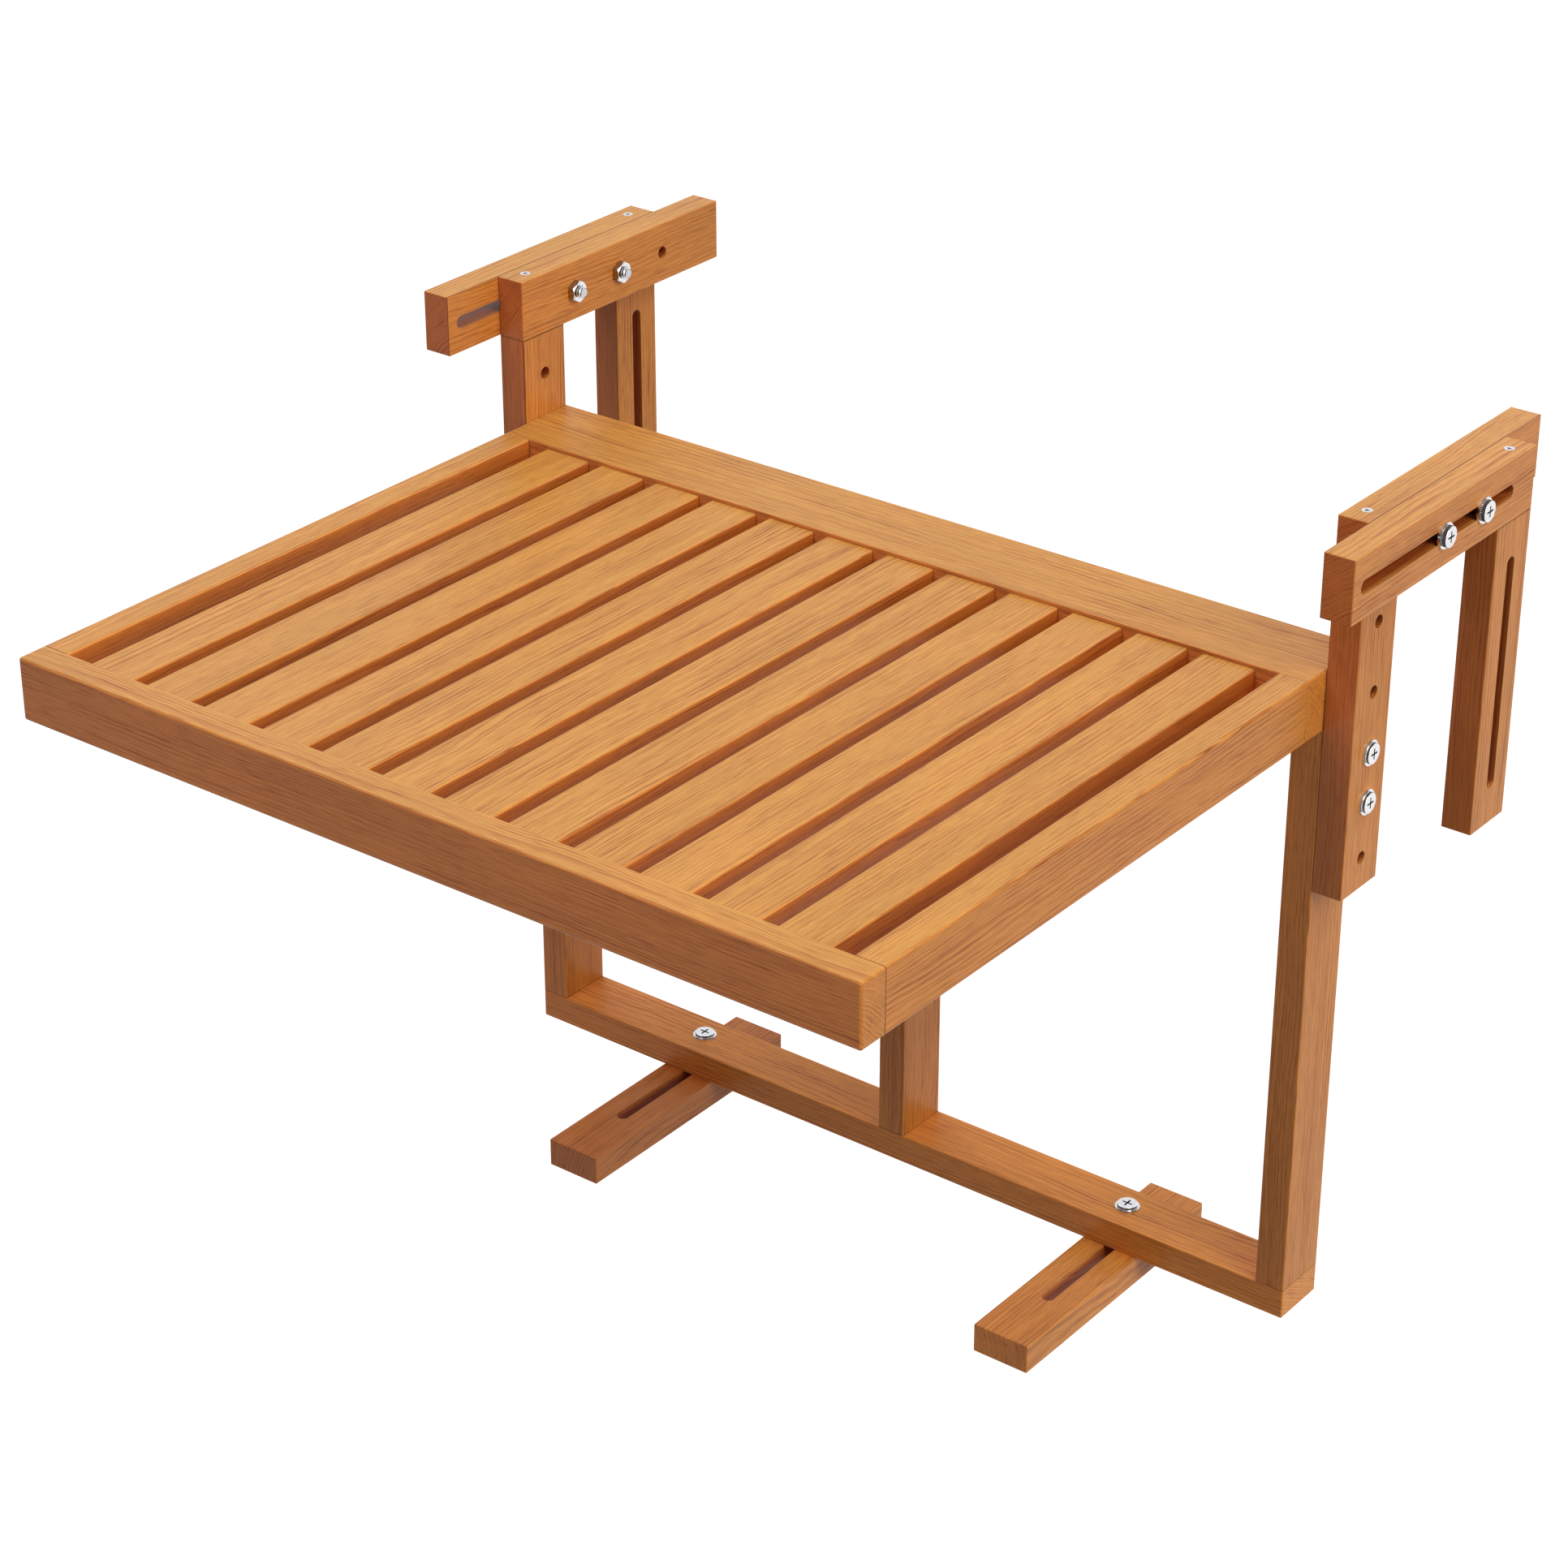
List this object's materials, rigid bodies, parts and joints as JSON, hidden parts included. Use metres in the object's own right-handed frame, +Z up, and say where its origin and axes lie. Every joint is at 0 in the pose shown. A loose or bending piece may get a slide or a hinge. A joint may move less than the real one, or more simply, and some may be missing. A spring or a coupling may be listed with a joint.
{
  "type": "balcony railing bar table",
  "caption": "Slatted wooden table that hangs on a balcony railing by two sliding hooks, with an upright rear frame and slotted spacer bars below.",
  "frame": {"origin": "where the inner top edge of the railing goes: midway between the hooks, on the back plane of the rear frame, at the underside of the arms", "axes": "+X to the right along the table, +Y from the table towards and over the railing, +Z up"},
  "size_m": [0.6892, 0.642, 0.5714],
  "materials": {
    "stained_softwood": "honey stain, satin oiled",
    "beech_dowel": "plain turned",
    "zinc_plated_steel": "bright zinc plated"
  },
  "bodies": {
    "table": {"bottom_rail": "stained_softwood", "centre_post": "stained_softwood", "cleat_screws": "zinc_plated_steel", "corner_dowels": "beech_dowel", "front_cleat": "stained_softwood", "front_rail": "stained_softwood", "left_arm_screw": "zinc_plated_steel", "left_end_post": "stained_softwood", "left_hook_bolts": "zinc_plated_steel", "left_hook_nuts": "zinc_plated_steel", "left_hook_post": "stained_softwood", "left_hook_washers": "zinc_plated_steel", "left_inner_arm": "stained_softwood", "left_side_rail": "stained_softwood", "post_dowels": "beech_dowel", "post_screws": "zinc_plated_steel", "rear_cleat": "stained_softwood", "rear_rail": "stained_softwood", "right_arm_screw": "zinc_plated_steel", "right_end_post": "stained_softwood", "right_hook_bolts": "zinc_plated_steel", "right_hook_nuts": "zinc_plated_steel", "right_hook_post": "stained_softwood", "right_hook_washers": "zinc_plated_steel", "right_inner_arm": "stained_softwood", "right_side_rail": "stained_softwood", "slat_01": "stained_softwood", "slat_02": "stained_softwood", "slat_03": "stained_softwood", "slat_04": "stained_softwood", "slat_05": "stained_softwood", "slat_06": "stained_softwood", "slat_07": "stained_softwood", "slat_08": "stained_softwood", "slat_09": "stained_softwood", "slat_10": "stained_softwood", "slat_11": "stained_softwood", "slat_12": "stained_softwood", "slat_screws": "zinc_plated_steel", "table_screws": "zinc_plated_steel", "top_rail": "stained_softwood"},
    "left_hook": {"left_outer_arm": "stained_softwood", "left_drop_post": "stained_softwood", "left_drop_screw": "zinc_plated_steel"},
    "left_spacer_pivot": {"left_spacer_bolt": "zinc_plated_steel", "left_spacer_washers": "zinc_plated_steel", "left_spacer_nut": "zinc_plated_steel"},
    "left_spacer": {"left_spacer_bar": "stained_softwood"},
    "right_hook": {"right_outer_arm": "stained_softwood", "right_drop_post": "stained_softwood", "right_drop_screw": "zinc_plated_steel"},
    "right_spacer_pivot": {"right_spacer_bolt": "zinc_plated_steel", "right_spacer_washers": "zinc_plated_steel", "right_spacer_nut": "zinc_plated_steel"},
    "right_spacer": {"right_spacer_bar": "stained_softwood"}
  },
  "joints": [
    {"name": "left_hook_slide", "type": "slide", "parent": "table", "child": "left_hook", "axis": [0, 1, 0], "range_m": [-0.0305, 0.087]},
    {"name": "left_spacer_swivel", "type": "hinge", "parent": "table", "child": "left_spacer_pivot", "pos_m": [-0.1725, -0.02, -0.503], "axis": [0, 0, 1], "range_deg": [-90, 90]},
    {"name": "left_spacer_slide", "type": "slide", "parent": "left_spacer_pivot", "child": "left_spacer", "axis": [0, 1, 0], "range_m": [-0.007, 0.0875]},
    {"name": "right_hook_slide", "type": "slide", "parent": "table", "child": "right_hook", "axis": [0, 1, 0], "range_m": [-0.0305, 0.087]},
    {"name": "right_spacer_swivel", "type": "hinge", "parent": "table", "child": "right_spacer_pivot", "pos_m": [0.1725, -0.02, -0.503], "axis": [0, 0, 1], "range_deg": [-90, 90]},
    {"name": "right_spacer_slide", "type": "slide", "parent": "right_spacer_pivot", "child": "right_spacer", "axis": [0, 1, 0], "range_m": [-0.007, 0.0875]}
  ]
}
